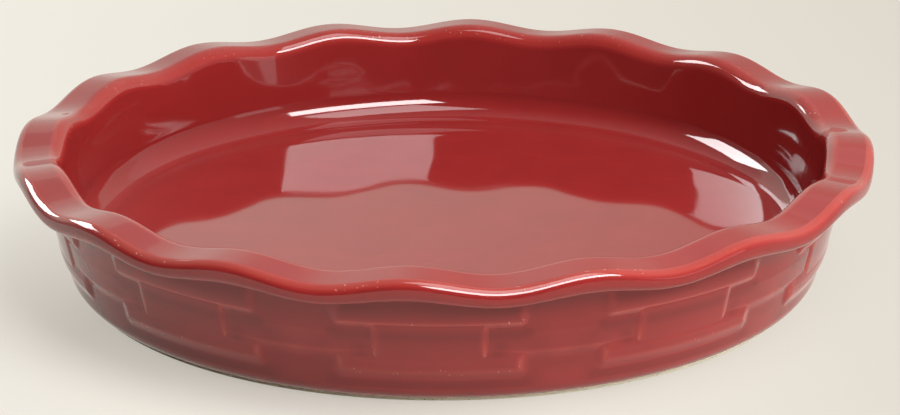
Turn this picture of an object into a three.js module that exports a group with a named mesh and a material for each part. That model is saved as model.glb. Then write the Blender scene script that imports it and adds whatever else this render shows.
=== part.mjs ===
// A round stoneware tart dish with a rippled rim, a basket-weave relief and a glossy red glaze.
// Millimetres, +Z up. The origin is the centre of the foot, on the table.
// The clay is one pressed piece. Three coats of glaze are fused to it: inside, outside and base.
import * as THREE from "three";

// Section of the dish, over the glaze, midway between a crest and a trough of the rim.
const RIM_RADIUS = 140; // outermost reach of the lip
const RIM_HEIGHT = 44.2; // flange top at the mouth, above the table
const FLANGE_WIDTH = 15.2; // from the mouth to the lip's outermost reach
const FLANGE_FALL = 1; // the flange top is this much lower at the lip
const FLANGE_THICKNESS = 6.3; // the lip is a half round of this thickness
const MOUTH_ROUND = 4.5; // edge where the flange top meets the inner wall
const NECK_ROUND = 2.5; // hollow between the flange and the outer wall
const WALL_THICKNESS = 7.5; // of the glazed wall at the mouth, measured level
const WALL_FLARE = 0.224; // outward lean of the outer wall for each millimetre of height
const INNER_FLARE = 0.19; // and of the inner wall
const FLOOR_HEIGHT = 13; // inside floor above the table
const FLOOR_ROUND = 10.6; // hollow between the floor and the inner wall
const HEEL_ROUND = 6; // turn of the outer wall into the foot
const MOUTH_RADIUS = RIM_RADIUS - FLANGE_WIDTH;
const WALL_RADIUS = MOUTH_RADIUS - WALL_FLARE * RIM_HEIGHT + WALL_THICKNESS; // carried down to the table

// Glaze coats and the bare foot ring below them.
const GLAZE = 0.5; // thickness of each coat
const FOOT_WIDTH = 8; // flat ring that stands on the table
const RECESS_DEPTH = 4.5; // how far the base is raised inside the foot ring
const RECESS_SLOPE = 1.2; // inward lean of the foot ring's inner side
const BASE_MARGIN = 3; // bare clay between that side and the base coat

// Ripple of the rim: vertical waves that fade out down the wall.
const WAVES = 16;
const LIP_WAVE = 1.62; // rise of a crest above the middle, at the lip
const MOUTH_WAVE = 1.4; // and at the mouth
const WAVE_START = 29; // the walls are level below this height
const WAVE_TURN = -2.5; // degrees from the front of the dish to the nearest crest

// Basket-weave relief on the outer wall: three rows, with strips that pass over and under stakes.
const REPEATS = 10;
const STRIP_ANGLE = 25; // degrees that a strip covers in the upper and lower rows
const STAKE_ANGLE = 15.2; // degrees of the stake that shows in the middle row
const WEAVE_BOTTOM = 10.5; // plain band below the lower row
const LOWER_ROW = 6; // height of the lower row
const MIDDLE_ROW = 10.4; // height of the middle row; the upper row fills the rest
const STRIP_RELIEF = 1; // strips of the upper and lower rows stand this proud
const STAKE_RELIEF = 0.75; // stakes of the middle row
const WEAVER_RELIEF = 0.7; // middle-row strip where it passes over a hidden stake
const WEAVER_DIP = 0.35; // the same strip where it goes under a stake
const RELIEF_EDGE = 1.2; // width of the sloping edge round each strip

// Fineness of the facets.
const STEPS_PER_WAVE = 6;
const FLOOR_STEPS = 40;
const HOLLOW_STEPS = 3; // along the floor's hollow
const HEEL_STEPS = 4; // along the heel
const GLAZED_HEEL_STEPS = 1; // of these, the ones that the outside coat covers
const EDGE_STEPS = 2; // along every smaller rounding

const TURN = 2 * Math.PI;
const FRONT = -Math.PI / 2; // the middle of a weave strip faces -Y
const HALF_REPEAT = Math.PI / REPEATS;
const CREST = FRONT + THREE.MathUtils.degToRad(WAVE_TURN);

// Angles in rising order over one turn, starting midway between two strips.
function inOrder(angles) {
  const start = FRONT - HALF_REPEAT;
  const wrapped = angles.map((angle) => start + THREE.MathUtils.euclideanModulo(angle - start, TURN));
  return wrapped.sort((a, b) => a - b);
}

function evenAngles(count) {
  const angles = Array.from({ length: count }, (_, step) => CREST + (TURN * step) / count);
  return inOrder(angles);
}

// Angles at the foot and at the head of each sloping strip edge, so that the edges stay crisp.
function weaveAngles() {
  const stake = THREE.MathUtils.degToRad(STAKE_ANGLE) / 2;
  const strip = THREE.MathUtils.degToRad(STRIP_ANGLE) / 2;
  const edge = RELIEF_EDGE / 2 / WALL_RADIUS;
  const gap = (strip + edge + HALF_REPEAT) / 2;
  const side = [stake - edge, stake + edge, strip - edge, strip + edge, gap];
  const repeat = [...side, ...side.map((angle) => -angle), 0, HALF_REPEAT];
  const angles = [];
  for (let k = 0; k < REPEATS; k++) {
    const middle = FRONT + 2 * HALF_REPEAT * k;
    angles.push(...repeat.map((angle) => middle + angle));
  }
  return inOrder(angles);
}

const POLE = [FRONT];
const FLOOR_ANGLES = evenAngles(FLOOR_STEPS);
const RIM_ANGLES = evenAngles(WAVES * STEPS_PER_WAVE);
const WALL_ANGLES = weaveAngles();

// Height of the weave above the plain wall.
function relief(row, angle) {
  const repeats = (angle - FRONT) / (2 * HALF_REPEAT);
  const fromMiddle = Math.abs(repeats - Math.round(repeats)) * 2 * HALF_REPEAT;
  const stake = THREE.MathUtils.degToRad(STAKE_ANGLE) / 2;
  const strip = THREE.MathUtils.degToRad(STRIP_ANGLE) / 2;
  if (row === "strips") return fromMiddle < strip ? STRIP_RELIEF : 0;
  if (row === "stakes" && fromMiddle < stake) return STAKE_RELIEF;
  if (row === "stakes") {
    const along = (fromMiddle - stake) / (HALF_REPEAT - stake);
    return WEAVER_DIP + (WEAVER_RELIEF - WEAVER_DIP) * Math.sin((along * Math.PI) / 2);
  }
  return 0;
}

// Vertical shift of a point by the ripple: none low on the wall, full at the lip's middle and above.
function ripple(angle, r, z) {
  const lipMiddle = RIM_HEIGHT - FLANGE_FALL - FLANGE_THICKNESS / 2;
  const rise = THREE.MathUtils.clamp((z - WAVE_START) / (lipMiddle - WAVE_START), 0, 1);
  const height = THREE.MathUtils.mapLinear(r, MOUTH_RADIUS, RIM_RADIUS, MOUTH_WAVE, LIP_WAVE);
  return height * rise * Math.cos(WAVES * (angle - CREST));
}

// A place on the section: x is the radius, y the height, and normal points away from the clay.
function station(point, normal, angles, row = "plain") {
  return { point, normal, angles, row };
}

// Stations along a rounded corner. The clay lies to the right of the way from before to after.
function roundedCorner(before, corner, after, radius, steps, angles) {
  const arriving = corner.clone().sub(before).normalize();
  const leaving = after.clone().sub(corner).normalize();
  const turn = Math.atan2(arriving.cross(leaving), arriving.dot(leaving));
  const side = Math.sign(turn);
  const reach = radius * Math.tan(Math.abs(turn) / 2);
  const firstNormal = new THREE.Vector2(-arriving.y, arriving.x);
  const start = corner.clone().addScaledVector(arriving, -reach);
  const centre = start.addScaledVector(firstNormal, side * radius);
  const stations = [];
  for (let step = 0; step <= steps; step++) {
    const normal = firstNormal.clone().rotateAround(new THREE.Vector2(), (turn * step) / steps);
    const point = centre.clone().addScaledVector(normal, -side * radius);
    stations.push(station(point, normal, angles));
  }
  return stations;
}

function wallRadius(z) {
  return WALL_RADIUS + WALL_FLARE * z;
}

// Corners of the section over the glaze, from the middle of the floor out and over the lip.
const LIP_ROUND = FLANGE_THICKNESS / 2;
const LIP_UNDERSIDE = RIM_HEIGHT - FLANGE_FALL - FLANGE_THICKNESS;
const floorCentre = new THREE.Vector2(0, FLOOR_HEIGHT);
const floorCorner = new THREE.Vector2(
  MOUTH_RADIUS - INNER_FLARE * (RIM_HEIGHT - FLOOR_HEIGHT),
  FLOOR_HEIGHT,
);
const mouth = new THREE.Vector2(MOUTH_RADIUS, RIM_HEIGHT);
const lipTop = new THREE.Vector2(RIM_RADIUS, RIM_HEIGHT - FLANGE_FALL);
const lipBottom = new THREE.Vector2(RIM_RADIUS, LIP_UNDERSIDE);
const neck = new THREE.Vector2(wallRadius(LIP_UNDERSIDE), LIP_UNDERSIDE);
const heel = new THREE.Vector2(wallRadius(-GLAZE), -GLAZE);
const underFoot = new THREE.Vector2(0, -GLAZE);
const wallNormal = new THREE.Vector2(1, -WALL_FLARE).normalize();

// Inside of the dish: floor, hollow, wall, flange and the upper half of the lip.
function insideStations() {
  const up = new THREE.Vector2(0, 1);
  return [
    station(floorCentre, up, POLE),
    ...roundedCorner(floorCentre, floorCorner, mouth, FLOOR_ROUND, HOLLOW_STEPS, FLOOR_ANGLES),
    ...roundedCorner(floorCorner, mouth, lipTop, MOUTH_ROUND, EDGE_STEPS, RIM_ANGLES),
    ...roundedCorner(mouth, lipTop, lipBottom, LIP_ROUND, EDGE_STEPS, RIM_ANGLES),
  ];
}

// Heel of the outer wall. The clay below it, sunk by the glaze, ends level with the table.
function heelStations() {
  return roundedCorner(neck, heel, underFoot, HEEL_ROUND, HEEL_STEPS, WALL_ANGLES);
}

// Outside of the dish: lower half of the lip, neck, weave rows and the glazed part of the heel.
function outsideStations() {
  const lip = roundedCorner(lipTop, lipBottom, neck, LIP_ROUND, EDGE_STEPS, RIM_ANGLES);
  const hollow = roundedCorner(lipBottom, neck, heel, NECK_ROUND, EDGE_STEPS, WALL_ANGLES);
  hollow.at(-1).row = "strips";
  const edge = RELIEF_EDGE / 2;
  const lowerTop = WEAVE_BOTTOM + LOWER_ROW;
  const middleTop = lowerTop + MIDDLE_ROW;
  const levels = [
    [middleTop + edge, "strips"],
    [middleTop - edge, "stakes"],
    [lowerTop + edge, "stakes"],
    [lowerTop - edge, "strips"],
    [WEAVE_BOTTOM + edge, "strips"],
    [WEAVE_BOTTOM - edge, "plain"],
  ];
  const wall = levels.map(([z, row]) =>
    station(new THREE.Vector2(wallRadius(z), z), wallNormal, WALL_ANGLES, row),
  );
  return [...lip, ...hollow, ...wall, ...heelStations().slice(0, GLAZED_HEEL_STEPS + 1)];
}

// The flat ring starts where the heel ends.
const FOOT_OUTER = heelStations().at(-1).point.x;
const FOOT_INNER = FOOT_OUTER - FOOT_WIDTH;
const RECESS_RADIUS = FOOT_INNER - RECESS_SLOPE;

// Inner edge of the foot ring and the raised base inside it.
function footStations() {
  const down = new THREE.Vector2(0, -1);
  const footInner = new THREE.Vector2(FOOT_INNER, 0);
  const recessEdge = new THREE.Vector2(RECESS_RADIUS, RECESS_DEPTH);
  return [
    station(footInner, down, FLOOR_ANGLES),
    station(recessEdge, down, FLOOR_ANGLES),
    station(new THREE.Vector2(0, RECESS_DEPTH), down, POLE),
  ];
}

// A closed surface made of rings that are joined in turn.
class Skin {
  constructor() {
    this.positions = [];
    this.triangles = [];
  }

  // One ring round the axis, sunk below the section by depth. A pole is a ring of one point.
  ring({ point, normal, angles, row }, depth = 0) {
    const first = this.positions.length / 3;
    for (const angle of angles) {
      const lift = relief(row, angle) - depth;
      const r = point.x + normal.x * lift;
      const z = point.y + normal.y * lift;
      this.positions.push(r * Math.cos(angle), r * Math.sin(angle), z + ripple(angle, r, z));
    }
    return { first, angles };
  }

  // Triangles between two rings, taken in step by angle, so that their counts may differ.
  join(a, b, flip) {
    const [stepsA, stepsB] = [a, b].map((ring) => (ring.angles.length > 1 ? ring.angles.length : 0));
    const vertex = (ring, k) => ring.first + (k % ring.angles.length);
    const angle = (ring, k) => ring.angles[k % ring.angles.length] + TURN * Math.floor(k / ring.angles.length);
    let i = 0;
    let j = 0;
    while (i < stepsA || j < stepsB) {
      const alongA = j === stepsB || (i < stepsA && angle(a, i + 1) <= angle(b, j + 1));
      const last = alongA ? vertex(a, i + 1) : vertex(b, j + 1);
      const triangle = [vertex(a, i), vertex(b, j), last];
      this.triangles.push(...(flip ? triangle.reverse() : triangle));
      i += alongA ? 1 : 0;
      j += alongA ? 0 : 1;
    }
  }

  // A run of rings, facing away from the clay, or towards it when flipped.
  face(rings, flip = false) {
    for (let k = 1; k < rings.length; k++) this.join(rings[k - 1], rings[k], flip);
  }

  geometry() {
    const geometry = new THREE.BufferGeometry();
    geometry.setAttribute("position", new THREE.Float32BufferAttribute(this.positions, 3));
    geometry.setIndex(this.triangles);
    geometry.computeVertexNormals();
    return geometry;
  }
}

// Pressed clay: the section sunk by the glaze, closed by the foot and the base.
function clayBody() {
  const skin = new Skin();
  const bareHeel = heelStations().slice(GLAZED_HEEL_STEPS + 1);
  const sunk = [...insideStations(), ...outsideStations().slice(1), ...bareHeel];
  const rings = [
    ...sunk.map((place) => skin.ring(place, GLAZE)),
    ...footStations().map((place) => skin.ring(place)),
  ];
  skin.face(rings);
  return skin.geometry();
}

// A coat of glaze: its glossy face, its fused face on the clay, and the edges between them.
function coat(stations) {
  const skin = new Skin();
  const glossy = stations.map((place) => skin.ring(place));
  const fused = stations.map((place) => skin.ring(place, GLAZE));
  skin.face(glossy);
  skin.face(fused, true);
  skin.join(fused.at(-1), glossy.at(-1), true);
  if (stations[0].angles !== POLE) skin.join(fused[0], glossy[0], false);
  return skin.geometry();
}

// The coat on the raised base, a thin disc inside the foot ring.
function baseCoat() {
  const skin = new Skin();
  const up = new THREE.Vector2(0, 1);
  const radius = RECESS_RADIUS - BASE_MARGIN;
  const underside = RECESS_DEPTH - GLAZE;
  const rings = [
    station(new THREE.Vector2(0, RECESS_DEPTH), up, POLE),
    station(new THREE.Vector2(radius, RECESS_DEPTH), up, FLOOR_ANGLES),
    station(new THREE.Vector2(radius, underside), up, FLOOR_ANGLES),
    station(new THREE.Vector2(0, underside), up, POLE),
  ].map((place) => skin.ring(place));
  skin.face(rings);
  return skin.geometry();
}

const clay = new THREE.MeshStandardMaterial({ color: 0xcbb791, roughness: 0.85, metalness: 0 });
const redGlaze = new THREE.MeshStandardMaterial({ color: 0x9c2f2f, roughness: 0.1, metalness: 0 });

function piece(name, geometry, material) {
  const mesh = new THREE.Mesh(geometry, material);
  mesh.name = name;
  return mesh;
}

const tartDish = new THREE.Group();
tartDish.add(
  piece("stoneware_body", clayBody(), clay),
  piece("inner_glaze", coat(insideStations()), redGlaze),
  piece("outer_glaze", coat(outsideStations()), redGlaze),
  piece("base_glaze", baseCoat(), redGlaze),
);

export default tartDish;
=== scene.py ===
"""Looks of a round stoneware tart dish with a rippled rim, a basket-weave relief and a red glaze.

Metres, +Z up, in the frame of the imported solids. Three smooth meshes stand in for the solids: the glaze
coat, the clay, and the coat on the raised base. All of them follow one section, turned round the axis.
A pale paper, soft lamps and a camera make a plain studio.
"""

import math

import bpy
import numpy as np
from mathutils import Matrix, Vector


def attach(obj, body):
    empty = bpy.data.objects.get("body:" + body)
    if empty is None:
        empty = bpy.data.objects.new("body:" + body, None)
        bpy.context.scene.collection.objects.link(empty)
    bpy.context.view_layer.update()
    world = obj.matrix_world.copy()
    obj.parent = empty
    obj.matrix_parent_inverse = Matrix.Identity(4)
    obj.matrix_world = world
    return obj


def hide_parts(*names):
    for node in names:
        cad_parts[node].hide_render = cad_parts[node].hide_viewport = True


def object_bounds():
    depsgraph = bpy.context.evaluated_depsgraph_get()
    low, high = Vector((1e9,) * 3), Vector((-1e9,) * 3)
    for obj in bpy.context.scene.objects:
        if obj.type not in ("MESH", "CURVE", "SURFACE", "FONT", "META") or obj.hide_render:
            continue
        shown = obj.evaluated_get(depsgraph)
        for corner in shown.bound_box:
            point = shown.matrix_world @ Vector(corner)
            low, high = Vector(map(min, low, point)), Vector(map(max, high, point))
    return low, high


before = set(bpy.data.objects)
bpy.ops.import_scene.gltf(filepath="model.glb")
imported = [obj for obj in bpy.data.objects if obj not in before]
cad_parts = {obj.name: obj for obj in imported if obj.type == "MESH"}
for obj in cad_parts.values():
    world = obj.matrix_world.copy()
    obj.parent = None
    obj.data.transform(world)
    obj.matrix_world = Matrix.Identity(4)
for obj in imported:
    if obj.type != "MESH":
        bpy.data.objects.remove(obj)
cad_low, cad_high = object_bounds()

MM = 0.001

# Section of the dish over the glaze. The large sizes are those of the solids.
RIM_RADIUS = (cad_high.x - cad_low.x) / 2
RIM_HEIGHT = 44.2 * MM
FLANGE_WIDTH = 15.2 * MM
FLANGE_FALL = 1.0 * MM
FLANGE_THICKNESS = 6.3 * MM
LIP_TOP_ROUND = 3.15 * MM
LIP_LOW_ROUND = 2.8 * MM
MOUTH_ROUND = 4.5 * MM
NECK_ROUND = 2.5 * MM
WALL_THICKNESS = 7.5 * MM
WALL_FLARE = 0.224
INNER_FLARE = 0.19
FLOOR_HEIGHT = 13.0 * MM
FLOOR_ROUND = 10.6 * MM
HEEL_ROUND = 6.0 * MM

# Coat of glaze and the bare foot
GLAZE = 0.5 * MM
HEEL_LIFT = 0.75 * MM  # of the glazed heel above the table
GLAZE_END = math.radians(60)  # how far below level the outside coat reaches round the heel
GLAZE_END_WANDER = math.radians(2.5)
WANDER_SEED = 5
WANDER_WAVES = range(3, 40)  # numbers of waves round the dish that make up the uneven end
WANDER_SIZES = (0.3, 1.0)
FOOT_START = math.radians(71)  # where the upright side of the foot leaves the heel
FOOT_WIDTH = 8.0 * MM
FOOT_EDGE = 0.35 * MM
RECESS_DEPTH = 4.5 * MM
RECESS_SLOPE = 1.2 * MM
BASE_MARGIN = 3.0 * MM

# Ripple of the rim
WAVES = 16
LIP_WAVE = 1.62 * MM
MOUTH_WAVE = 1.4 * MM
WAVE_START = 29.0 * MM
WAVE_TURN = math.radians(-2.5)

# Basket weave on the outer wall
REPEATS = 10
STRIP_ANGLE = math.radians(25)
STAKE_ANGLE = math.radians(15.2)
WEAVE_BOTTOM = 10.5 * MM
LOWER_ROW = 6.0 * MM
MIDDLE_ROW = 10.4 * MM
STRIP_RELIEF = 1.05 * MM
STAKE_RELIEF = 0.88 * MM
WEAVER_RELIEF = 0.75 * MM
WEAVER_DIP = 0.3 * MM  # height of a weaver where it goes under a stake
LOWER_TUCK = 0.8 * MM  # of the lower strips under the weavers
RELIEF_EDGE = 3.2 * MM  # width of a panel's soft edge, times its SOFTNESS
RELIEF_FADE = 5.0 * MM  # the relief dies away into the neck over this height
RELIEF_CORNER = 1.6 * MM  # rounding of the panels' corners

# Thinness of the glaze, which also carries painted light: 0 where shade is painted fully, PLAIN on open
# stretches and 1 on a sharp edge, shown paler as thin glaze with a painted highlight
PLAIN = 0.5
HEEL_THINNESS = 0.55
EDGE_BEND = 1.8 * MM  # radius of a bend that counts as a sharp edge, before the limit
EDGE_BREAK_AND_SHEEN_LIMIT = 0.6  # limit for the section's own edges, of thin glaze with a painted highlight
LIP_PAINTED_SHADE = 0.15  # painted shade on the lower half of the lip, which faces down
LIP_TURN = 0.45  # upward part of the normal where that is half set in
LIP_BLEND = 0.5  # span of the upward part over which it sets in
INSIDE_PAINTED_SHADE = 0.2  # painted shade on the inside wall
NECK_PAINTED_SHADE = 0.42  # and painted shade below the lip
NECK_REACH = 12.5 * MM
BREAK_AND_SHEEN_PLACE = 0.72  # where the glaze thins and a highlight is painted on a panel's edge, in parts of the soft edge
BREAK_AND_SHEEN_WIDTH = 0.29
SHADE_BESIDE_PLACE = -0.35  # where shade is painted beside the edge
SHADE_BESIDE_WIDTH = 0.7
SHADE_BESIDE_STEP = 0.2 * MM  # a panel this much higher than the surface beside it gets the full painted shade there

# For the upper strips, lower strips, stakes and weavers: how soft the edges are, how strongly the glaze
# thins and a highlight is painted on them and how strong the painted shade beside them is, each at the
# ends, the top and the bottom
SOFTNESS = [(1.4, 1.4, 1.2), (1.5, 2.0, 1.5), (1.3, 1.0, 1.0), (1.0, 2.7, 1.3)]
BREAKS_AND_SHEEN = [(0.5, 0.0, 0.75), (0.6, 0.0, 0.4), (0.75, 0.0, 0.0), (0.0, 0.0, 0.55)]
SHADES_BESIDE = [(0.2, 0.0, 0.6), (0.3, 0.3, 0.5), (0.45, 0.0, 0.0), (0.0, 0.0, 0.3)]

# Fineness of the smooth meshes
FLOOR_STEPS = 14
HOLLOW_STEPS = 26
ROUND_STEPS = 12
FOOT_EDGE_STEPS = 6
LIP_STEPS = 20
HEEL_STEPS = 12
HIDDEN_HEEL_STEPS = 6
BEAD_STEPS = 5
WALL_STEP = 1.2 * MM
EDGE_STEP = 0.25 * MM
CLOSEST = EDGE_STEP / 10  # stations nearer than this are merged
ANGLE_STEP = math.radians(1.2)

# Finish of the glaze. Each pair of places is where a change of tone begins and ends.
GLAZE_RED = (0.33, 0.025, 0.024)
GLAZE_CLOUD = tuple(0.9 * part for part in GLAZE_RED)
# painted shade: a darker red in hollows, beside the weave, under the lip and on the inside wall
GLAZE_PAINTED_SHADE = (0.2, 0.013, 0.012)
# thin glaze on edges, with a painted highlight: first warmer, then paler
GLAZE_WARM_AND_SHEEN = (0.38, 0.036, 0.029)
GLAZE_BREAK_AND_SHEEN = (0.48, 0.13, 0.105)
GLAZE_ROUGHNESS = 0.05
GLAZE_IOR = 1.56
CLOUD_SCALE = 60.0
CLOUD_PLACES = (0.3, 0.75)
PAINTED_SHADE_PLACES = (0.1, 0.5)
WARM_AND_SHEEN_PLACES = (0.55, 0.75)
BREAK_AND_SHEEN_PLACES = (0.75, 1.0)
PINHOLE = (0.7, 0.5, 0.42)
PINHOLE_SCALE = 1100.0
PINHOLE_PLACES = (0.77, 0.8)
PINHOLE_STRENGTH = 0.5
PATCH_SCALE = 30.0
PATCH_PLACES = (0.45, 0.6)
SWELL_SCALE = 45.0
SWELL_HEIGHT = 0.05 * MM

# Finish of the bare clay
CLAY_DARK = (0.85, 0.78, 0.6)
CLAY_PALE = (0.94, 0.89, 0.71)
CLAY_ROUGHNESS = 0.85
GRAIN_SCALE = 900.0
GRAIN_DETAIL = 4.0
GRAIN_ROUGHNESS = 0.6
GRAIN_PLACES = (0.3, 0.7)
GRAIN_HEIGHT = 0.08 * MM
IRON = (0.2, 0.11, 0.05)
IRON_SCALE = 1600.0
IRON_PLACES = (0.68, 0.74)
IRON_STRENGTH = 0.6

# Paper sheet
SHEET_SIDE = 5.0
SHEET_FRONT = -6.0
SHEET_BACK = 2.6
SHEET_BEND = 0.9
SHEET_HEIGHT = 2.45
SHEET_STEPS = 25
SHEET_LEVEL = -0.05 * MM  # just under the foot
PAPER = (0.76, 0.73, 0.665)
# painted light: the paper's glow is paler on the viewer's left, where more light falls, than on the right
PAPER_GLOW_LEFT = (1.0, 0.975, 0.88)
PAPER_GLOW_RIGHT = (0.64, 0.575, 0.505)
PAPER_FADE = 0.46  # half the width over which the paper's painted glow changes
PAPER_ROUGHNESS = 0.9
PAPER_SHEEN = 0.1
PAPER_GLOW = 0.92
NEAR_GLOW = 0.55  # round SHADE_MIDDLE, where the dish's shadow shows
SHADE_MIDDLE = (-0.06, -0.09, 0.0)
GLOW_PLACES = (0.4 * RIM_RADIUS, 1.35 * RIM_RADIUS)  # distances from there over which it rises

# Room and lamps
ROOM_BRIGHT_WAY = (0.342, 0.94, 0.0)
ROOM_DARK = (0.035, 0.034, 0.033)
ROOM_BRIGHT = (0.72, 0.71, 0.67)
ROOM_PLACES = (0.25, 0.9)
# Each lamp's name, degrees round from +X and up, distance, width, height and brightness, whether it
# lights matt surfaces, and whether it shows in glossy ones
LAMPS = [
    ("key_softbox", -46, 55, 0.9, 0.67, 0.31, 7.7, True, False),
    ("key_sheen", -54, 48, 1.35, 1.06, 0.4, 17.0, False, True),
    ("ceiling", -45, 74, 1.35, 0.75, 0.6, 4.2, True, True),
    ("front_fill", -54, 33, 1.1, 0.73, 0.2, 8.2, True, False),
    ("side_card", -22, 12, 1.3, 0.4, 0.28, 1.0, False, True),
    ("side_window", 0, 4, 1.2, 0.8, 0.14, 13.0, True, False),
    ("left_softbox", 150, 30, 1.35, 0.75, 0.45, 13.0, False, True),
    ("left_fill", 150, 10, 1.35, 0.62, 0.3, 3.4, True, False),
]

# The camera that was worked out from the photograph's outlines, in an image of 900 by 415 pixels
IMAGE_WIDTH = 900
FOCAL_PIXELS = 2931.7
CAMERA_BACK = 915.2 * MM
CAMERA_UP = 337.8 * MM
CAMERA_YAW = 0.00222
CAMERA_PITCH = 0.33565
CAMERA_ROLL = -0.00254
CAMERA_TURN = math.radians(1.945)  # of the whole view round the dish
SENSOR_WIDTH = 36.0
CLIP_NEAR = 0.01
CLIP_FAR = 20.0

# Places that follow from the sizes
MOUTH_RADIUS = RIM_RADIUS - FLANGE_WIDTH
WALL_RADIUS = MOUTH_RADIUS - WALL_FLARE * RIM_HEIGHT + WALL_THICKNESS
LIP_UNDERSIDE = RIM_HEIGHT - FLANGE_FALL - FLANGE_THICKNESS
LIP_MIDDLE = LIP_UNDERSIDE + FLANGE_THICKNESS / 2
LOWER_TOP = WEAVE_BOTTOM + LOWER_ROW
MIDDLE_TOP = LOWER_TOP + MIDDLE_ROW
REPEAT_ANGLE = 2 * math.pi / REPEATS
FRONT = -math.pi / 2
CREST = FRONT + WAVE_TURN


def wall_radius(z):
    return WALL_RADIUS + WALL_FLARE * z


# Corners of the section, as radius and height
FLOOR_CENTRE = (0.0, FLOOR_HEIGHT)
FLOOR_CORNER = (MOUTH_RADIUS - INNER_FLARE * (RIM_HEIGHT - FLOOR_HEIGHT), FLOOR_HEIGHT)
MOUTH = (MOUTH_RADIUS, RIM_HEIGHT)
LIP_TOP = (RIM_RADIUS, RIM_HEIGHT - FLANGE_FALL)
LIP_BOTTOM = (RIM_RADIUS, LIP_UNDERSIDE)
NECK = (wall_radius(LIP_UNDERSIDE), LIP_UNDERSIDE)
HEEL = (wall_radius(HEEL_LIFT), HEEL_LIFT)
UNDER_FOOT = (0.0, HEEL_LIFT)


# Shape: stations along the section, each with radius, height and the two parts of the outward normal


def corner_arc(before, corner, after, radius, steps):
    """Stations along a rounded corner, with the clay on the right of the way."""
    before, corner, after = (np.array(point, float) for point in (before, corner, after))
    arriving = (corner - before) / np.linalg.norm(corner - before)
    leaving = (after - corner) / np.linalg.norm(after - corner)
    turn = math.atan2(
        arriving[0] * leaving[1] - arriving[1] * leaving[0], arriving @ leaving
    )
    side = math.copysign(1.0, turn)
    first = np.array([-arriving[1], arriving[0]])
    start = corner - arriving * radius * math.tan(abs(turn) / 2)
    centre = start + side * radius * first
    swing = turn * np.linspace(0, 1, steps + 1)
    normals = np.stack(
        [
            first[0] * np.cos(swing) - first[1] * np.sin(swing),
            first[0] * np.sin(swing) + first[1] * np.cos(swing),
        ],
        axis=1,
    )
    return np.hstack([centre - side * radius * normals, normals])


def straight(start, end, steps):
    """Stations between two others, without them."""
    share = np.linspace(0, 1, steps + 1)[1:-1, None]
    return start + (end - start) * share


def join_runs(runs):
    """Joins arcs by straight runs with stations about WALL_STEP apart."""
    joined = [runs[0]]
    for run in runs[1:]:
        start, end = joined[-1][-1], run[0]
        gap = np.linalg.norm(end[:2] - start[:2])
        steps = max(1, round(gap / WALL_STEP))
        joined += [straight(start, end, steps), run]
    return np.vstack(joined)


def floor_hollow():
    return corner_arc(FLOOR_CENTRE, FLOOR_CORNER, MOUTH, FLOOR_ROUND, HOLLOW_STEPS)


def neck_arc():
    return corner_arc(LIP_BOTTOM, NECK, HEEL, NECK_ROUND, ROUND_STEPS)


def heel_arc():
    """Start, middle and end of the rounded heel."""
    return corner_arc(NECK, HEEL, UNDER_FOOT, HEEL_ROUND, 2)


def floor_stations():
    """Level floor from near the middle to the start of the hollow."""
    centre = np.array([0.0, FLOOR_HEIGHT, 0.0, 1.0])
    return straight(centre, floor_hollow()[0], FLOOR_STEPS)


def inside_stations():
    """From the edge of the flat floor up the wall, over the flange and round the lip."""
    mouth = corner_arc(FLOOR_CORNER, MOUTH, LIP_TOP, MOUTH_ROUND, ROUND_STEPS)
    lip_top = corner_arc(MOUTH, LIP_TOP, LIP_BOTTOM, LIP_TOP_ROUND, LIP_STEPS)
    lip_low = corner_arc(LIP_TOP, LIP_BOTTOM, NECK, LIP_LOW_ROUND, LIP_STEPS)
    return join_runs([floor_hollow(), mouth, lip_top, lip_low, neck_arc()])


def near_edges(low, high, edges, spacing):
    """Values from low to high: evenly spaced, and finer round each edge."""
    fine = np.arange(-RELIEF_EDGE, RELIEF_EDGE + EDGE_STEP / 2, EDGE_STEP)
    coarse = np.linspace(low, high, max(2, round((high - low) / spacing) + 1))
    reach = RELIEF_EDGE + EDGE_STEP
    far = [v for v in coarse[1:-1] if all(abs(v - edge) > reach for edge in edges)]
    values = np.concatenate([[low, high], far] + [edge + fine for edge in edges])
    places = np.unique(np.clip(values, low, high))
    apart = np.diff(places, prepend=-np.inf) > CLOSEST
    return places[apart]


def wall_stations():
    """Outer wall from the neck down to the heel."""
    top = neck_arc()[-1]
    bottom = heel_arc()[0]
    levels = near_edges(bottom[1], top[1], [WEAVE_BOTTOM, LOWER_TOP, MIDDLE_TOP], WALL_STEP)
    levels = levels[::-1][1:]
    return np.stack(
        [wall_radius(levels), levels, np.full_like(levels, top[2]), np.full_like(levels, top[3])],
        axis=1,
    )


def weave_angles():
    """Angles round the dish, finer at the upright edges of the strips and stakes."""
    half = REPEAT_ANGLE / 2
    edges = [side * angle / 2 for side in (-1, 1) for angle in (STAKE_ANGLE, STRIP_ANGLE)]
    scale = WALL_RADIUS
    along = near_edges(
        -half * scale, half * scale, [edge * scale for edge in edges], ANGLE_STEP * scale
    )
    repeat = along[:-1] / scale
    turns = FRONT + REPEAT_ANGLE * np.arange(REPEATS)
    return (turns[:, None] + repeat[None, :]).ravel()


# Shape: relief and ripple


def smooth_step(x):
    x = np.clip(x, 0, 1)
    return x * x * (3 - 2 * x)


def hump(x):
    return np.exp(-x * x)


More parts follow.
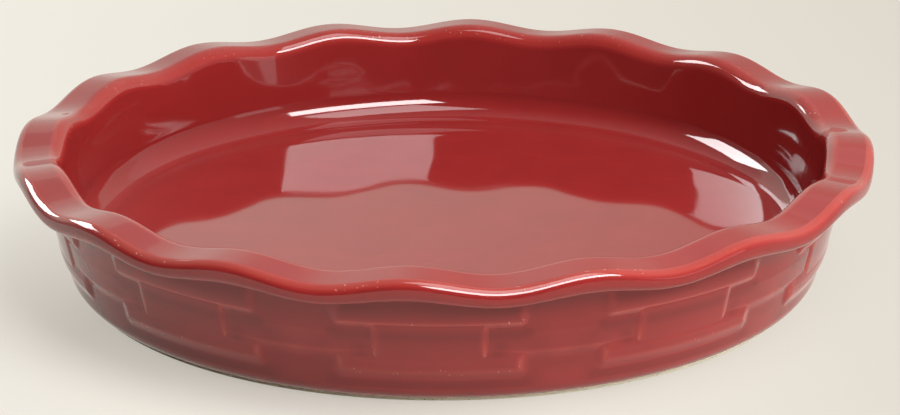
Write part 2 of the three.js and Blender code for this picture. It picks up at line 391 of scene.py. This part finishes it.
def panel(along, half_width, z, bottom, top, softness):
    """How far inside a panel with rounded corners a place is: 0 and 1 bound its soft edge."""
    middle, half_height = (bottom + top) / 2, (top - bottom) / 2
    dx = np.abs(along) - (half_width - RELIEF_CORNER)
    dz = np.abs(z - middle) - (half_height - RELIEF_CORNER)
    outside = np.hypot(np.maximum(dx, 0), np.maximum(dz, 0))
    inside = np.minimum(np.maximum(dx, dz), 0)
    depth = RELIEF_CORNER - outside - inside
    end, upper, lower = softness
    rail = np.where(z > middle, upper, lower)
    softer = end + (rail - end) * smooth_step(np.abs(z - middle) / half_height)
    return depth / (RELIEF_EDGE * softer) + 0.5


def side_share(along, half_width, z, bottom, top, values):
    """A panel's value at its nearest edge, from its values for end, top and bottom."""
    end, upper, lower = values
    middle, half_height = (bottom + top) / 2, (top - bottom) / 2
    past_end = np.abs(along) - half_width
    past_rail = np.abs(z - middle) - half_height
    rail = np.where(z > middle, upper, lower)
    turn = smooth_step((past_end - past_rail) / RELIEF_EDGE + 0.5)
    return rail + (end - rail) * turn


def weave_panels(along, z):
    """Outlines and full heights of the upper strips, lower strips, stakes and weavers."""
    strip, stake = (angle / 2 * WALL_RADIUS for angle in (STRIP_ANGLE, STAKE_ANGLE))
    half_repeat = REPEAT_ANGLE / 2 * WALL_RADIUS
    tuck = RELIEF_EDGE / 2
    above = MIDDLE_TOP + RIM_HEIGHT
    rise = np.clip((along - stake) / (half_repeat - stake), 0, 1)
    crown = WEAVER_DIP + (WEAVER_RELIEF - WEAVER_DIP) * np.sin(rise * math.pi / 2)
    panels = [
        (along, strip, z, MIDDLE_TOP, above),
        (along, strip, z, WEAVE_BOTTOM, LOWER_TOP + LOWER_TUCK),
        (along, stake, z, LOWER_TOP - tuck, MIDDLE_TOP + tuck),
        (half_repeat - along, half_repeat, z, LOWER_TOP, MIDDLE_TOP),
    ]
    return panels, [STRIP_RELIEF, STRIP_RELIEF, STAKE_RELIEF, crown]


def weave(angles, z):
    """Depth, height, thin glaze with painted highlight, and painted shade of each kind of panel, for rows
    of z, columns of angles.
    """
    turns = (angles - FRONT) / REPEAT_ANGLE
    from_middle = np.abs(turns - np.round(turns)) * REPEAT_ANGLE
    z = z[:, None]
    panels, sizes = weave_panels(from_middle[None, :] * WALL_RADIUS, z)
    depths = np.stack([panel(*shape, soft) for shape, soft in zip(panels, SOFTNESS)])
    fade = smooth_step((LIP_UNDERSIDE - NECK_ROUND / 2 - z) / RELIEF_FADE)
    heights = np.stack([size * fade * smooth_step(depth) for size, depth in zip(sizes, depths)])
    higher = np.stack([smooth_step((size - heights.max(axis=0)) / SHADE_BESIDE_STEP) for size in sizes])
    breaks_and_sheen = np.stack([side_share(*shape, sides) for shape, sides in zip(panels, BREAKS_AND_SHEEN)])
    shades_beside = np.stack([side_share(*shape, sides) for shape, sides in zip(panels, SHADES_BESIDE)])
    return depths, heights, breaks_and_sheen, shades_beside * higher


def relief(angles, z):
    """Height of the weave above the plain wall."""
    return weave(angles, z)[1].max(axis=0)


def ripple(angles, r, z):
    """Rise of the rim at its crests and fall at its troughs, growing up the wall and toward the lip."""
    rise = np.clip((z - WAVE_START) / (LIP_MIDDLE - WAVE_START), 0, 1)
    outward = (r - MOUTH_RADIUS) / (RIM_RADIUS - MOUTH_RADIUS)
    height = MOUTH_WAVE + (LIP_WAVE - MOUTH_WAVE) * outward
    return height * rise * np.cos(WAVES * (angles - CREST))


def wander(angles):
    """A slow, repeating unevenness between -1 and 1 round the dish."""
    rng = np.random.default_rng(WANDER_SEED)
    waves = np.array(WANDER_WAVES)
    phases = rng.uniform(0, 2 * math.pi, len(waves))
    sizes = rng.uniform(*WANDER_SIZES, len(waves)) / np.sqrt(waves)
    wave = (sizes[:, None] * np.sin(waves[:, None] * angles + phases[:, None])).sum(axis=0)
    return wave / np.abs(wave).max()


# Shape: rings of points, as radius and height for each station and angle


def rings(stations, angles, depth=0.0, woven=False):
    """Rings along the section, sunk below it by depth."""
    r, z, out, up = (stations[:, k, None] for k in range(4))
    lift = relief(angles, stations[:, 1]) - depth if woven else np.full((1, len(angles)), -depth)
    r = r + out * lift
    z = z + up * lift
    return r, z + ripple(angles, r, z)


def heel_rings(downward, depth):
    """Rings on the heel at angles below level, one row for each row of downward."""
    start = heel_arc()[0]
    centre = start[:2] - HEEL_ROUND * start[2:]
    radius = HEEL_ROUND - depth
    return centre[0] + radius * np.cos(downward), centre[1] - radius * np.sin(downward)


def heel_run(start, end, steps, depth):
    """Rings on the heel from one angle below level to another, without the first."""
    share = np.linspace(0, 1, steps + 1)[1:, None]
    return heel_rings(start + (end - start) * share, depth)


def glaze_end(angles):
    """Angle below level at which the outside coat ends, round the dish."""
    return (GLAZE_END + GLAZE_END_WANDER * wander(angles))[None, :]


def stack(blocks):
    return tuple(np.vstack([block[k] for block in blocks]) for k in range(2))


def glossy_face(angles):
    """Outer face of the coat, from the floor over the lip and down to its bead on the heel."""
    end = glaze_end(angles)
    quarter = np.linspace(0, math.pi / 2, BEAD_STEPS + 1)[1:, None]
    bead_end = end + GLAZE / HEEL_ROUND * np.sin(quarter)
    return stack(
        [
            rings(floor_stations(), angles),
            rings(inside_stations(), angles),
            rings(wall_stations(), angles, woven=True),
            heel_run(math.atan(WALL_FLARE), end, HEEL_STEPS, 0.0),
            heel_rings(bead_end, GLAZE * (1 - np.cos(quarter))),
        ]
    )


def fused_face(angles):
    """Face of the clay under the coat, from the floor to the coat's end on the heel."""
    end = glaze_end(angles) + GLAZE / HEEL_ROUND
    return stack(
        [
            rings(floor_stations(), angles, GLAZE),
            rings(inside_stations()[::2], angles, GLAZE),
            rings(wall_stations(), angles, GLAZE, woven=True),
            heel_run(math.atan(WALL_FLARE), end, HIDDEN_HEEL_STEPS, GLAZE),
        ]
    )


def foot_stations():
    """Bare foot ring and the raised base inside it, from the heel's end to near the middle."""
    heel_end = heel_arc()[-1]
    side = heel_end[0] + (HEEL_ROUND - GLAZE) * math.cos(FOOT_START)
    inner = (heel_end[0] - FOOT_WIDTH, 0.0)
    recess = (inner[0] - RECESS_SLOPE, RECESS_DEPTH)
    side_top = np.array([[side, HEEL_LIFT, 1.0, 0.0]])
    corners = [(side, HEEL_LIFT), (side, 0.0), inner, recess, (0.0, RECESS_DEPTH)]
    arcs = [corner_arc(*corners[k : k + 3], FOOT_EDGE, FOOT_EDGE_STEPS) for k in range(3)]
    centre = np.array([0.0, RECESS_DEPTH, 0.0, -1.0])
    base = straight(arcs[-1][-1], centre, FLOOR_STEPS)
    return np.vstack([side_top, join_runs(arcs), base])


def bare_foot(angles):
    """Bare clay from the coat's end round the heel and under the dish."""
    end = glaze_end(angles) + GLAZE / HEEL_ROUND
    heel = heel_run(end, FOOT_START, HEEL_STEPS - 1, GLAZE)
    return stack([heel, rings(foot_stations(), angles)])


def base_coat_stations():
    """Glossy coat on the raised base, with a rounded edge, from its middle out and back."""
    radius = heel_arc()[-1][0] - FOOT_WIDTH - RECESS_SLOPE - BASE_MARGIN
    quarter = np.linspace(0, math.pi / 2, BEAD_STEPS + 1)
    bead = np.stack(
        [
            radius - GLAZE + GLAZE * np.cos(quarter),
            RECESS_DEPTH - GLAZE * np.sin(quarter),
            np.cos(quarter),
            -np.sin(quarter),
        ],
        axis=1,
    )
    top = np.array([[radius / 2, RECESS_DEPTH, 0.0, 1.0]])
    bottom = np.array([0.0, RECESS_DEPTH - GLAZE, 0.0, -1.0])
    return np.vstack([top, bead, straight(bead[-1], bottom, FLOOR_STEPS)])


def place_object(name, data):
    thing = bpy.data.objects.new(name, data)
    bpy.context.scene.collection.objects.link(thing)
    return thing


def ring_mesh(name, r, z, angles, first_pole, last_pole):
    """A closed mesh of rings between two points on the axis, facing outward."""
    rows, columns = r.shape
    grid = np.stack([r * np.cos(angles), r * np.sin(angles), z], axis=-1).reshape(-1, 3)
    points = np.vstack([grid, [[0, 0, first_pole], [0, 0, last_pole]]])
    index = np.arange(rows * columns).reshape(rows, columns)
    beside = np.roll(index, -1, axis=1)
    quads = np.stack([index[:-1], index[1:], beside[1:], beside[:-1]], axis=-1).reshape(-1, 4)
    top = np.full(columns, rows * columns)
    first = np.stack([top, index[0], beside[0]], axis=-1)
    last = np.stack([index[-1], top + 1, beside[-1]], axis=-1)
    mesh = bpy.data.meshes.new(name)
    mesh.from_pydata(points, [], quads.tolist() + first.tolist() + last.tolist())
    mesh.polygons.foreach_set("use_smooth", np.ones(len(mesh.polygons), bool))
    mesh.validate()
    return place_object(name, mesh)


# Thinness of the glaze on each ring, with painted highlight and painted shade


def section_thinness_and_painted_light(stations):
    """Thinness along the plain section, from how sharply it bends, with a painted highlight on the convex
    edges and painted shade in the hollows, on the downward half of the lip and on the inside wall.
    """
    step = np.gradient(stations, axis=0)
    length = np.hypot(step[:, 0], step[:, 1])
    bend = (step[:, 2] * step[:, 0] + step[:, 3] * step[:, 1]) / length**2
    thin_and_painted_light = PLAIN * np.clip(bend * EDGE_BEND, -1, EDGE_BREAK_AND_SHEEN_LIMIT)
    r, z, _, up = stations.T
    lower = smooth_step((LIP_TURN - up) / LIP_BLEND + 0.5) * (r > MOUTH_RADIUS)
    thin_and_painted_light = thin_and_painted_light + (np.minimum(thin_and_painted_light, -LIP_PAINTED_SHADE) - thin_and_painted_light) * lower
    in_wall = (z < RIM_HEIGHT - MOUTH_ROUND) & (r < MOUTH_RADIUS)
    return PLAIN + thin_and_painted_light - INSIDE_PAINTED_SHADE * in_wall * smooth_step((z - FLOOR_HEIGHT) / FLOOR_ROUND)


def weave_thinness_and_painted_light(angles, z):
    """Thin glaze with a painted highlight on the panels' edges, and painted shade along their feet and
    under the lip.
    """
    depths, heights, breaks_and_sheen, shades_beside = weave(angles, z)
    top = heights.argmax(axis=0)[None]
    on_top = np.arange(len(depths))[:, None, None] == top
    flat = heights.max(axis=0) <= 0
    thin_and_painted_light = (hump((depths - BREAK_AND_SHEEN_PLACE) / BREAK_AND_SHEEN_WIDTH) * breaks_and_sheen * on_top).max(axis=0)
    shade_beside = (hump((depths - SHADE_BESIDE_PLACE) / SHADE_BESIDE_WIDTH) * shades_beside * ~on_top).max(axis=0)
    neck = NECK_PAINTED_SHADE * smooth_step((z[:, None] - LIP_UNDERSIDE) / NECK_REACH + 1)
    return np.where(flat, PLAIN, PLAIN + (1 - PLAIN) * thin_and_painted_light) - np.maximum(PLAIN * shade_beside, neck)


def coat_thinness_and_painted_light(angles, rows):
    """Thinness with painted highlight and painted shade for each ring of the coat, the hidden rings too.
    """
    floor = np.full(FLOOR_STEPS - 1, PLAIN)
    inside = np.concatenate([floor, section_thinness_and_painted_light(inside_stations())])
    woven = weave_thinness_and_painted_light(angles, wall_stations()[:, 1])
    heel = np.full(HEEL_STEPS, HEEL_THINNESS)
    bead = np.linspace(HEEL_THINNESS, 1, BEAD_STEPS)
    below = np.concatenate([heel, bead])
    hidden = np.full(rows - len(inside) - len(woven) - len(below), PLAIN)
    bands = [np.repeat(part[:, None], len(angles), axis=1) for part in (inside, below, hidden)]
    return np.vstack([bands[0], woven, bands[1], bands[2]])


# the thinness attribute also carries painted highlight and painted shade
def add_thinness_and_painted_light(piece, values):
    attribute = piece.data.attributes.new("thinness_and_painted_light", "FLOAT", "POINT")
    attribute.data.foreach_set("value", np.asarray(values, np.float32))


# Finishes


def new_material(name):
    """A new finish with its node tree, its shader and the place on the piece."""
    material = bpy.data.materials.new(name)
    material.use_nodes = True
    tree = material.node_tree
    place = tree.nodes.new("ShaderNodeTexCoord").outputs["Object"]
    return material, tree, tree.nodes["Principled BSDF"], place


def add_noise(tree, place, scale, detail=3.0, roughness=0.5):
    noise = tree.nodes.new("ShaderNodeTexNoise")
    noise.inputs["Scale"].default_value = scale
    noise.inputs["Detail"].default_value = detail
    noise.inputs["Roughness"].default_value = roughness
    tree.links.new(place, noise.inputs["Vector"])
    return noise.outputs["Fac"]


def add_ramp(tree, value, places, first=0.0, last=1.0):
    """A change from first to last, both greys or both colours, between two places of a value."""
    ramp = tree.nodes.new("ShaderNodeValToRGB")
    for element, position, colour in zip(ramp.color_ramp.elements, places, (first, last)):
        element.position = position
        element.color = (*colour, 1) if isinstance(colour, tuple) else (colour, colour, colour, 1)
    tree.links.new(value, ramp.inputs["Fac"])
    return ramp.outputs["Color"]


def add_mix(tree, factor, first, second):
    """A colour of the tree mixed with a fixed one."""
    mix = tree.nodes.new("ShaderNodeMix")
    mix.data_type = "RGBA"
    tree.links.new(factor, mix.inputs[0])
    tree.links.new(first, mix.inputs[6])
    mix.inputs[7].default_value = (*second, 1)
    return mix.outputs[2]


def add_math(tree, operation, first, second):
    result = tree.nodes.new("ShaderNodeMath")
    result.operation = operation
    tree.links.new(first, result.inputs[0])
    tree.links.new(second, result.inputs[1])
    return result.outputs[0]


def add_measure(tree, operation, vector, other):
    """A number from a vector and a fixed one, such as their distance."""
    measure = tree.nodes.new("ShaderNodeVectorMath")
    measure.operation = operation
    measure.inputs[1].default_value = other
    tree.links.new(vector, measure.inputs[0])
    return measure.outputs["Value"]


def add_range(tree, value, low, high):
    """The value on a scale where low is 0 and high is 1."""
    scaled = tree.nodes.new("ShaderNodeMapRange")
    scaled.inputs["From Min"].default_value = low
    scaled.inputs["From Max"].default_value = high
    tree.links.new(value, scaled.inputs["Value"])
    return scaled.outputs[0]


def add_bump(tree, shader, height, distance):
    bump = tree.nodes.new("ShaderNodeBump")
    bump.inputs["Strength"].default_value = 1.0
    bump.inputs["Distance"].default_value = distance
    tree.links.new(height, bump.inputs["Height"])
    tree.links.new(bump.outputs["Normal"], shader.inputs["Normal"])


def pinholes(tree, place, edges):
    """Fine specks in loose patches along the thin edges."""
    specks = add_noise(tree, place, PINHOLE_SCALE, detail=0.0)
    holes = add_ramp(tree, specks, PINHOLE_PLACES, 0.0, PINHOLE_STRENGTH)
    patches = add_noise(tree, place, PATCH_SCALE, detail=1.0)
    patchy = add_ramp(tree, patches, PATCH_PLACES)
    on_edges = add_math(tree, "MULTIPLY", holes, edges)
    return add_math(tree, "MULTIPLY", on_edges, patchy)


def red_glaze():
    """Glossy brick-red glaze: thin and paler with a painted highlight on sharp edges, darker with painted
    shade in hollows, beside the weave, under the lip and on the inside wall, with pinholes.
    """
    material, tree, shader, place = new_material("red_glaze")
    thinness_and_painted_light = tree.nodes.new("ShaderNodeAttribute")
    thinness_and_painted_light.attribute_name = "thinness_and_painted_light"
    thin_and_painted_light = thinness_and_painted_light.outputs["Fac"]
    painted_shade = add_ramp(tree, thin_and_painted_light, PAINTED_SHADE_PLACES, 1.0, 0.0)
    warm_and_sheen = add_ramp(tree, thin_and_painted_light, WARM_AND_SHEEN_PLACES)
    broken_and_sheen = add_ramp(tree, thin_and_painted_light, BREAK_AND_SHEEN_PLACES)
    cloud = add_noise(tree, place, CLOUD_SCALE)
    colour = add_ramp(tree, cloud, CLOUD_PLACES, GLAZE_RED, GLAZE_CLOUD)
    colour = add_mix(tree, painted_shade, colour, GLAZE_PAINTED_SHADE)
    colour = add_mix(tree, warm_and_sheen, colour, GLAZE_WARM_AND_SHEEN)
    colour = add_mix(tree, broken_and_sheen, colour, GLAZE_BREAK_AND_SHEEN)
    colour = add_mix(tree, pinholes(tree, place, warm_and_sheen), colour, PINHOLE)
    tree.links.new(colour, shader.inputs["Base Color"])
    shader.inputs["Roughness"].default_value = GLAZE_ROUGHNESS
    shader.inputs["IOR"].default_value = GLAZE_IOR
    swell = add_noise(tree, place, SWELL_SCALE, detail=1.0)
    add_bump(tree, shader, swell, SWELL_HEIGHT)
    return material


def bare_stoneware():
    """Matt cream clay with a fine grain and a few iron specks."""
    material, tree, shader, place = new_material("bare_stoneware")
    grain = add_noise(tree, place, GRAIN_SCALE, GRAIN_DETAIL, GRAIN_ROUGHNESS)
    tone = add_ramp(tree, grain, GRAIN_PLACES, CLAY_DARK, CLAY_PALE)
    specks = add_noise(tree, place, IRON_SCALE, detail=1.0)
    iron = add_ramp(tree, specks, IRON_PLACES, 0.0, IRON_STRENGTH)
    tree.links.new(add_mix(tree, iron, tone, IRON), shader.inputs["Base Color"])
    shader.inputs["Roughness"].default_value = CLAY_ROUGHNESS
    add_bump(tree, shader, grain, GRAIN_HEIGHT)
    return material


# The pieces


def finish_piece(piece, slot, material, *nodes):
    piece.data.materials.append(material)
    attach(piece, "root")
    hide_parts(*nodes)


def make_glaze(material):
    """The coat over the inside, the rim and the outer wall, as one closed skin."""
    angles = weave_angles()
    r, z = glossy_face(angles)
    under_r, under_z = fused_face(angles)
    piece = ring_mesh(
        "glaze_coat",
        np.vstack([r, under_r[::-1]]),
        np.vstack([z, under_z[::-1]]),
        angles,
        FLOOR_HEIGHT,
        FLOOR_HEIGHT - GLAZE,
    )
    thin_and_painted_light = coat_thinness_and_painted_light(angles, len(r) + len(under_r))
    add_thinness_and_painted_light(piece, np.append(thin_and_painted_light.ravel(), [PLAIN, PLAIN]))
    finish_piece(piece, "red_glaze", material, "inner_glaze", "outer_glaze")


def make_clay(material):
    """The clay body, with its bare foot ring and raised base."""
    angles = weave_angles()
    blocks = stack([fused_face(angles), bare_foot(angles)])
    piece = ring_mesh("stoneware_dish", *blocks, angles, FLOOR_HEIGHT - GLAZE, RECESS_DEPTH)
    finish_piece(piece, "stoneware", material, "stoneware_body")


def make_base_coat(material):
    """The coat on the raised base inside the foot ring."""
    angles = weave_angles()
    r, z = rings(base_coat_stations(), angles)
    piece = ring_mesh("base_coat", r, z, angles, RECESS_DEPTH, RECESS_DEPTH - GLAZE)
    add_thinness_and_painted_light(piece, np.full(len(piece.data.vertices), PLAIN))
    finish_piece(piece, "red_glaze", material, "base_glaze")


# Studio


def paper_glow_tone(tree, place):
    """The paper's painted glow, paler on the viewer's left than on the right, standing in for light that
    falls more strongly on the left.
    """
    split = tree.nodes.new("ShaderNodeSeparateXYZ")
    tree.links.new(place, split.inputs[0])
    across = add_range(tree, split.outputs["X"], -PAPER_FADE, PAPER_FADE)
    return add_ramp(tree, across, (0.0, 1.0), PAPER_GLOW_LEFT, PAPER_GLOW_RIGHT)


def glow_share(tree, place):
    """How much of that tone is seen, directly or in the glaze: less round the dish, for its shadow."""
    path = tree.nodes.new("ShaderNodeLightPath")
    seen = add_math(tree, "MAXIMUM", path.outputs["Is Camera Ray"], path.outputs["Is Glossy Ray"])
    away = add_measure(tree, "DISTANCE", place, SHADE_MIDDLE)
    spread = add_ramp(tree, away, GLOW_PLACES, NEAR_GLOW, PAPER_GLOW)
    return add_math(tree, "MULTIPLY", seen, spread)


def studio_paper():
    """Matt paper that takes the lamps' light and shadows, blended with a glow of its own that is painted
    paler on the viewer's left.
    """
    material, tree, shader, place = new_material("studio_paper")
    shader.inputs["Base Color"].default_value = (*PAPER, 1)
    shader.inputs["Roughness"].default_value = PAPER_ROUGHNESS
    shader.inputs["Specular IOR Level"].default_value = PAPER_SHEEN
    glow = tree.nodes.new("ShaderNodeEmission")
    tree.links.new(paper_glow_tone(tree, place), glow.inputs["Color"])
    blend = tree.nodes.new("ShaderNodeMixShader")
    tree.links.new(glow_share(tree, place), blend.inputs["Fac"])
    tree.links.new(shader.outputs[0], blend.inputs[1])
    tree.links.new(glow.outputs[0], blend.inputs[2])
    tree.links.new(blend.outputs[0], tree.nodes["Material Output"].inputs["Surface"])
    return material


def make_sheet():
    """A pale paper sheet that runs from the table up behind the dish."""
    quarter = np.linspace(0, math.pi / 2, SHEET_STEPS)
    curve = [
        (SHEET_BACK + SHEET_BEND * math.sin(a), SHEET_BEND * (1 - math.cos(a))) for a in quarter
    ]
    profile = [(SHEET_FRONT, 0.0)] + curve + [(SHEET_BACK + SHEET_BEND, SHEET_HEIGHT)]
    points = [(x, y, SHEET_LEVEL + z) for y, z in profile for x in (-SHEET_SIDE, SHEET_SIDE)]
    faces = [(2 * k, 2 * k + 1, 2 * k + 3, 2 * k + 2) for k in range(len(profile) - 1)]
    mesh = bpy.data.meshes.new("studio_sheet")
    mesh.from_pydata(points, [], faces)
    mesh.polygons.foreach_set("use_smooth", np.ones(len(faces), bool))
    mesh.materials.append(studio_paper())
    sheet = place_object("studio_sheet", mesh)


def add_softbox(name, azimuth, elevation, distance, width, height, brightness, matt, glossy):
    """A rectangular lamp of even brightness, aimed at the dish."""
    lamp = bpy.data.lights.new(name, "AREA")
    lamp.shape = "RECTANGLE"
    lamp.size, lamp.size_y = width, height
    lamp.energy = brightness * math.pi * width * height
    box = place_object(name, lamp)
    a, e = math.radians(azimuth), math.radians(elevation)
    away = Vector((math.cos(a) * math.cos(e), math.sin(a) * math.cos(e), math.sin(e)))
    box.location = distance * away
    way = Vector((0, 0, RIM_HEIGHT / 2)) - box.location
    box.rotation_mode = "QUATERNION"
    box.rotation_quaternion = way.to_track_quat("-Z", "Y")
    box.visible_diffuse = matt
    box.visible_glossy = glossy


def make_room():
    """Surroundings that are brighter behind and on the right than on the viewer's left."""
    world = bpy.data.worlds.new("studio")
    bpy.context.scene.world = world
    world.use_nodes = True
    tree = world.node_tree
    way = tree.nodes.new("ShaderNodeTexCoord").outputs["Generated"]
    toward = add_measure(tree, "DOT_PRODUCT", way, ROOM_BRIGHT_WAY)
    level = add_range(tree, toward, -1.0, 1.0)
    colour = add_ramp(tree, level, ROOM_PLACES, ROOM_DARK, ROOM_BRIGHT)
    seen = tree.nodes.new("ShaderNodeLightPath").outputs["Is Camera Ray"]
    tree.links.new(add_mix(tree, seen, colour, PAPER), tree.nodes["Background"].inputs["Color"])


def make_camera():
    """The photograph's view."""
    camera = bpy.data.cameras.new("camera")
    camera.sensor_width = SENSOR_WIDTH
    camera.lens = FOCAL_PIXELS * SENSOR_WIDTH / IMAGE_WIDTH
    camera.clip_start, camera.clip_end = CLIP_NEAR, CLIP_FAR
    eye = place_object("camera", camera)
    stand = Matrix.Translation((0, -CAMERA_BACK, CAMERA_UP))
    look = (
        Matrix.Rotation(-CAMERA_YAW, 4, "Z")
        @ Matrix.Rotation(math.pi / 2 - CAMERA_PITCH, 4, "X")
        @ Matrix.Rotation(CAMERA_ROLL, 4, "Z")
    )
    eye.matrix_world = Matrix.Rotation(CAMERA_TURN, 4, "Z") @ stand @ look
    bpy.context.scene.camera = eye


bpy.context.scene.view_settings.view_transform = "Standard"
glaze = red_glaze()
make_glaze(glaze)
make_clay(bare_stoneware())
make_base_coat(glaze)
make_sheet()
for lamp in LAMPS:
    add_softbox(*lamp)
make_room()
make_camera()
